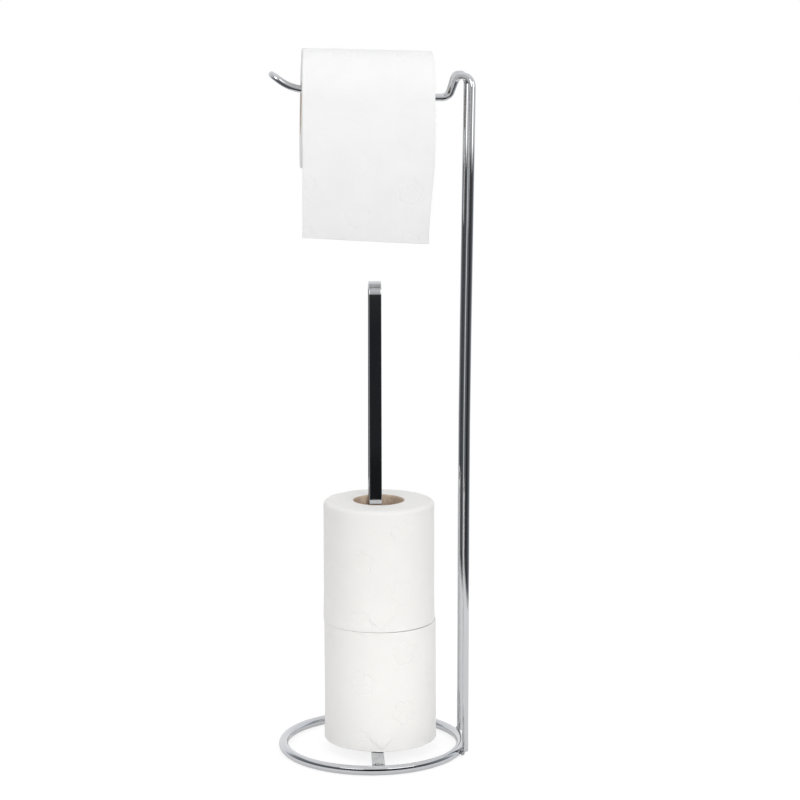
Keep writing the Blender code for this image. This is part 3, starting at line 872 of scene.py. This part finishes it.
def parts_of(tree, vector):
    """The X, Y and Z of a vector, as sockets."""
    return add_node(tree, "ShaderNodeSeparateXYZ", {"Vector": vector}).outputs


def mixed_colour(tree, share, first, second, blend_type="MIX"):
    """The two colours mixed by this share of the second."""
    return add_node(tree, "ShaderNodeMix", {"Factor": share, "A": first, "B": second},
                    data_type="RGBA", blend_type=blend_type).outputs["Result"]


def mixed_shader(tree, share, first, second):
    """The two shaders mixed by this share of the second."""
    return add_node(tree, "ShaderNodeMixShader", {0: share, 1: first, 2: second}).outputs["Shader"]


def glow(tree, colour, strength):
    """An emission shader."""
    light = add_node(tree, "ShaderNodeEmission", {"Color": colour, "Strength": strength})
    return light.outputs["Emission"]


def ramp(tree, share, stops):
    """Colour of a ramp with these stops, from place 0 to place 1."""
    made = add_node(tree, "ShaderNodeValToRGB", {"Fac": share})
    elements = made.color_ramp.elements
    elements[0].position = stops[0][0]
    elements[1].position = stops[-1][0]
    for place, colour in stops[1:-1]:
        elements.new(place)
    for element, (place, colour) in zip(elements, stops):
        element.position = place
        element.color = (*colour, 1)
    return made.outputs["Color"]


def stretched_noise(tree, stretch, scale, detail=NOISE_DETAIL, rough=0.5, place=None):
    """Noise stretched along its axes, in the object's own coordinates where no other place is given."""
    if place is None:
        place = add_node(tree, "ShaderNodeTexCoord").outputs["Object"]
    mapped = add_node(tree, "ShaderNodeMapping", {"Vector": place, "Scale": stretch}).outputs["Vector"]
    noise = add_node(tree, "ShaderNodeTexNoise",
                     {"Vector": mapped, "Scale": scale, "Detail": detail, "Roughness": rough})
    return noise.outputs["Fac"]


def flat_noise(tree, x, y, scale):
    """Noise in a plane, at a place given by its two coordinates."""
    place = add_node(tree, "ShaderNodeCombineXYZ", {"X": x, "Y": y}).outputs["Vector"]
    noise = add_node(tree, "ShaderNodeTexNoise",
                     {"Vector": place, "Scale": scale, "Detail": NOISE_DETAIL})
    return noise.outputs["Fac"]


def bump(tree, height, distance, strength=1.0, under=None):
    """Normal of a surface with this relief, on top of the relief under it."""
    inputs = {"Height": height, "Distance": distance, "Strength": strength}
    if under is not None:
        inputs["Normal"] = under
    return add_node(tree, "ShaderNodeBump", inputs).outputs["Normal"]


def chrome_look():
    """Bright plating over drawn steel: faint lines along the rod, shallow waves and a varying haze."""
    look, shader = new_look("chrome_plate", CHROME_COLOUR, CHROME_USUAL_ROUGHNESS, metallic=1.0)
    tree = look.node_tree
    drawn = add_node(tree, "ShaderNodeAttribute", attribute_name=DRAWN_LINES).outputs["Vector"]
    waves = stretched_noise(tree, *CHROME_WAVE_GRAIN, place=drawn)
    lines = stretched_noise(tree, *CHROME_LINE_GRAIN, place=drawn)
    haze = stretched_noise(tree, *CHROME_HAZE_GRAIN)
    hazy = map_range(tree, haze, *CHROME_HAZE_RANGE, *CHROME_ROUGHNESS)
    tree.links.new(hazy, shader.inputs["Roughness"])
    shallow = bump(tree, waves, CHROME_WAVE_DEPTH)
    tree.links.new(bump(tree, lines, CHROME_LINE_DEPTH, under=shallow), shader.inputs["Normal"])
    return look


def weld_look():
    """Plated weld metal, duller and rougher than the rod."""
    look, shader = new_look("weld_metal", WELD_COLOUR, WELD_USUAL_ROUGHNESS, metallic=1.0)
    tree = look.node_tree
    grain = stretched_noise(tree, *WELD_GRAIN)
    rough = map_range(tree, grain, *WELD_GRAIN_RANGE, *WELD_ROUGHNESS)
    tree.links.new(rough, shader.inputs["Roughness"])
    tree.links.new(bump(tree, grain, WELD_GRAIN_DEPTH), shader.inputs["Normal"])
    return look


def kraft_look():
    """Brown board with flecks and short fibres."""
    look, shader = new_look("kraft_board", BOARD_COLOUR, BOARD_ROUGHNESS)
    tree = look.node_tree
    fibres = stretched_noise(tree, *BOARD_FIBRE_GRAIN)
    tree.links.new(ramp(tree, fibres, BOARD_SHADES), shader.inputs["Base Color"])
    tree.links.new(bump(tree, fibres, BOARD_FIBRE_DEPTH), shader.inputs["Normal"])
    return look


def wound_layers(tree, place):
    """Noise on the end faces of a roll: broad streaks, and the fine edges of the wound layers."""
    parts = parts_of(tree, place)
    angle = calculated(tree, "ARCTAN2", parts["Y"], parts["X"])
    flat = add_node(tree, "ShaderNodeVectorMath", {0: place, 1: (1, 1, 0)}, operation="MULTIPLY")
    far = add_node(tree, "ShaderNodeVectorMath", {0: flat.outputs["Vector"]}, operation="LENGTH")
    far = far.outputs["Value"]
    streaks = flat_noise(tree, angle, map_range(tree, far, 0, END_FACE_RADIUS, 0, END_FACE_STREAKS),
                         END_FACE_STREAK_SCALE)
    turned = map_range(tree, angle, -OVER_HALF_TURN, OVER_HALF_TURN, 0, END_FACE_LAYER_TURNS)
    layers = flat_noise(tree, turned, map_range(tree, far, 0, END_FACE_RADIUS, 0, END_FACE_LAYERS),
                        END_FACE_LAYER_SCALE)
    return streaks, layers


def tissue_look(name, colour, shade, end_face_painted_light):
    """Soft crepe paper: fine pressed dots and fibres on the sides, wound layers on the end faces."""
    look, shader = new_look(name, colour, TISSUE_ROUGHNESS)
    tree = look.node_tree
    coordinates = add_node(tree, "ShaderNodeTexCoord")
    place = coordinates.outputs["Object"]
    dots = add_node(tree, "ShaderNodeTexVoronoi", {
        "Vector": place, "Scale": TISSUE_DOT_SCALE, "Randomness": TISSUE_DOT_RANDOMNESS,
    }, feature="SMOOTH_F1")
    fibres = stretched_noise(tree, *TISSUE_FIBRE_GRAIN)
    cloud = stretched_noise(tree, *TISSUE_CLOUD_GRAIN)
    facing = calculated(tree, "ABSOLUTE", parts_of(tree, coordinates.outputs["Normal"])["Z"])
    on_face = map_range(tree, facing, *END_FACE_FACING)
    streaks, layers = wound_layers(tree, place)
    clouded = map_range(tree, cloud, *TISSUE_CLOUD_RANGE)
    sides = mixed_colour(tree, clouded, (*colour, 1), (*shade, 1))
    # End faces take their own colour. On the spare rolls it is lighter than the sides: painted light on
    # their top faces.
    with_painted_end_light = mixed_colour(tree, on_face, sides, (*end_face_painted_light, 1))
    streaked = map_range(tree, streaks, *END_FACE_STREAK_RANGE, 0.0, END_FACE_STREAK_SHARE)
    streaked_face = calculated(tree, "MULTIPLY", streaked, on_face)
    darker = mixed_colour(tree, streaked_face, with_painted_end_light, END_FACE_STREAK_COLOUR)
    tree.links.new(darker, shader.inputs["Base Color"])
    pressed = bump(tree, dots.outputs["Distance"], TISSUE_DOT_DEPTH)
    woolly = bump(tree, fibres, TISSUE_FIBRE_DEPTH, under=pressed)
    layered = bump(tree, layers, END_FACE_LAYER_DEPTH, strength=on_face, under=woolly)
    tree.links.new(layered, shader.inputs["Normal"])
    shader.inputs["Sheen Weight"].default_value = TISSUE_SHEEN
    return look


def shown_white(tree, seen, other, strength, tone):
    """A white with its own light and faint shadows for rays of the seen kind, else the other shader."""
    faint = add_node(tree, "ShaderNodeBsdfDiffuse", {"Color": (tone, tone, tone, 1)}).outputs["BSDF"]
    light = glow(tree, WHITE, strength)
    lit = add_node(tree, "ShaderNodeAddShader", {0: faint, 1: light}).outputs["Shader"]
    return mixed_shader(tree, seen, other, lit)


def make_table():
    """A round white table top under the stand. It lights the stand as plain white paper does."""
    turns = [math.tau * i / TABLE_STEPS for i in range(TABLE_STEPS)]
    points = [(TABLE_RADIUS * math.cos(turn), TABLE_RADIUS * math.sin(turn), -TABLE_GAP) for turn in turns]
    look = empty_look("table_white")
    tree = look.node_tree
    path = add_node(tree, "ShaderNodeLightPath").outputs
    paper = add_node(tree, "ShaderNodeBsdfDiffuse", {"Color": TABLE_COLOUR})
    in_metal = shown_white(tree, path["Is Glossy Ray"], paper.outputs["BSDF"], METAL_GLOW, METAL_TONE)
    surface = shown_white(tree, path["Is Camera Ray"], in_metal, CAMERA_GLOW, CAMERA_TONE)
    add_node(tree, "ShaderNodeOutputMaterial", {"Surface": surface})
    table = mesh_piece("table_top", points, [list(range(TABLE_STEPS))], look)


def turn_stops(levels, tint):
    """Stops of a ramp round the stand, from brightness by degrees to the right of the front."""
    return [(0.5 + degrees / 360, tuple(level * part for part in tint)) for degrees, level in levels]


def screen_look():
    """Light of the screens: dark in front, brighter to the sides, and a lit panel above the right half."""
    look = empty_look("screen_dark")
    tree = look.node_tree
    parts = parts_of(tree, add_node(tree, "ShaderNodeTexCoord").outputs["Object"])
    height = parts["Z"]
    angle = calculated(tree, "ARCTAN2", parts["X"], calculated(tree, "MULTIPLY", parts["Y"], -1.0))
    turned = map_range(tree, angle, -math.pi, math.pi)
    shade = ramp(tree, turned, turn_stops(SCREEN_SHADES, SCREEN_TINT))
    above_foot = map_range(tree, height, 0.0, SCREEN_FADE / 2)
    foot = mixed_colour(tree, above_foot, SCREEN_FOOT_COLOUR, shade)
    lifted = mixed_colour(tree, 1.0, foot, ramp(tree, height, SCREEN_LIFTS), blend_type="LIGHTEN")
    lamps = ramp(tree, turned, turn_stops(PANEL_SPANS, (1, 1, 1)))
    clear = add_node(tree, "ShaderNodeBsdfTransparent").outputs["BSDF"]
    above = mixed_shader(tree, lamps, clear, glow(tree, WHITE, PANEL_STRENGTH))
    top = map_range(tree, height, SCREEN_HEIGHT - SCREEN_FADE, SCREEN_HEIGHT)
    surface = mixed_shader(tree, top, glow(tree, lifted, 1.0), above)
    add_node(tree, "ShaderNodeOutputMaterial", {"Surface": surface})
    return look


def make_surround():
    """Dark screens round the table's front edge that only polished metal sees, as in a photo tent."""
    half = math.radians(SCREEN_HALF_DEGREES)
    turns = [half * (2 * i / SCREEN_STEPS - 1) for i in range(SCREEN_STEPS + 1)]
    points = []
    faces = []
    for course in SCREEN_COURSES:
        first = len(points)
        for turn in turns:
            for away, height in course:
                points.append((away * math.sin(turn), -away * math.cos(turn), height))
        for i in range(first, first + 2 * SCREEN_STEPS, 2):
            faces.append([i, i + 2, i + 3, i + 1])
    screen = mesh_piece("front_screen", points, faces, screen_look())
    screen.visible_camera = False
    screen.visible_diffuse = False
    screen.visible_shadow = False
    screen.visible_transmission = False


def make_world():
    """White for the camera, and a studio for light and reflections.

    The studio is white behind and grey in front, with a brighter strip low on the right.
    """
    world = bpy.data.worlds.new("studio")
    bpy.context.scene.world = world
    world.use_nodes = True
    tree = world.node_tree
    tree.nodes.clear()
    parts = parts_of(tree, add_node(tree, "ShaderNodeTexCoord").outputs["Generated"])
    rise = map_range(tree, parts["Z"], -1.0, 1.0)
    front, back, window = (ramp(tree, rise, [((1 + height) / 2, colour) for height, colour in sky])
                           for sky in (FRONT_SKY, BACK_SKY, WINDOW_SKY))
    facing = map_range(tree, parts["Y"], *FRONT_TO_BACK)
    studio = mixed_colour(tree, facing, front, back)
    in_front = map_range(tree, facing, 0.0, WINDOW_ENDS_BEHIND, 1.0, 0.0)
    to_right = map_range(tree, parts["X"], *WINDOW_SIDE)
    window_share = calculated(tree, "MULTIPLY", to_right, in_front)
    brighter = mixed_colour(tree, window_share, studio, window, blend_type="ADD")
    seen = add_node(tree, "ShaderNodeLightPath").outputs["Is Camera Ray"]
    white = add_node(tree, "ShaderNodeBackground", {"Color": WHITE, "Strength": 1.0})
    lit = add_node(tree, "ShaderNodeBackground", {"Color": brighter, "Strength": 1.0})
    surface = mixed_shader(tree, seen, lit.outputs["Background"], white.outputs["Background"])
    add_node(tree, "ShaderNodeOutputWorld", {"Surface": surface})


def softbox(name, azimuth, elevation, width, height, strength, glint):
    """A soft lamp in front of the stand. A glint lights nothing and only shows in the chrome."""
    turn = math.radians(azimuth)
    rise = math.radians(elevation)
    lamp = bpy.data.lights.new(name, "AREA")
    lamp.shape = "RECTANGLE"
    lamp.size = 2 * LAMP_DISTANCE * math.tan(math.radians(width / 2))
    lamp.size_y = 2 * LAMP_DISTANCE * math.tan(math.radians(height / 2))
    lamp.energy = strength * math.pi * lamp.size * lamp.size_y
    placed = bpy.data.objects.new(name, lamp)
    away = Vector((math.sin(turn) * math.cos(rise), -math.cos(turn) * math.cos(rise), math.sin(rise)))
    placed.location = away * LAMP_DISTANCE
    placed.rotation_euler = (-away).to_track_quat("-Z", "Y").to_euler()
    placed.visible_camera = False
    placed.visible_glossy = glint
    placed.visible_diffuse = not glint
    bpy.context.scene.collection.objects.link(placed)


def make_camera():
    """The camera, where the photo was taken from."""
    camera = bpy.data.cameras.new("photo_camera")
    camera.lens = CAMERA_LENS
    camera.clip_start = CAMERA_CLIP_START
    placed = bpy.data.objects.new("photo_camera", camera)
    placed.location = CAMERA_PLACE
    placed.rotation_euler = (math.radians(CAMERA_TILT_DEGREES), 0, math.radians(CAMERA_TURN_DEGREES))
    bpy.context.scene.collection.objects.link(placed)
    bpy.context.scene.camera = placed


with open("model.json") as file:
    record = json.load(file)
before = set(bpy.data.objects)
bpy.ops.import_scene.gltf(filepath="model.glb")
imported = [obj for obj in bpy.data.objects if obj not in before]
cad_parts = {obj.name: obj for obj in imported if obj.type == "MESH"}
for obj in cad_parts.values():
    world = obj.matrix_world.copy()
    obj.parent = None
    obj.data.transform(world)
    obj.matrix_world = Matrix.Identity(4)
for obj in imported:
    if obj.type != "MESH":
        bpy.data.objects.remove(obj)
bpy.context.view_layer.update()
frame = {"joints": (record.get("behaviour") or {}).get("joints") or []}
bpy.context.scene.view_settings.view_transform = "Standard"

chrome = chrome_look()
ring_piece(chrome)
frame_piece(chrome)
post_piece(chrome)
weld = weld_look()
for order, node in enumerate(WELDS):
    weld_piece(node, WELD_SEED + order, weld)

board = kraft_look()
hanging_tissue = tissue_look("tissue_hanging", *HANGING_TISSUE)
# The spare rolls take the darker tissue: painted shade on the stack.
spare_tissue_painted_shade = tissue_look("tissue_spare_painted_shade", *SPARE_TISSUE_PAINTED_SHADE)
make_hanging_roll(hanging_tissue, board)
sheet_piece(hanging_tissue)
make_spare_roll("lower_roll", COVERED_ROLL_EDGE, LOWER_ROLL_SEED, spare_tissue_painted_shade, board)
make_spare_roll("upper_roll", SPARE_ROLL_EDGE, UPPER_ROLL_SEED, spare_tissue_painted_shade, board)

make_table()
make_surround()
make_world()
for lamp in LAMPS:
    softbox(*lamp)
make_camera()
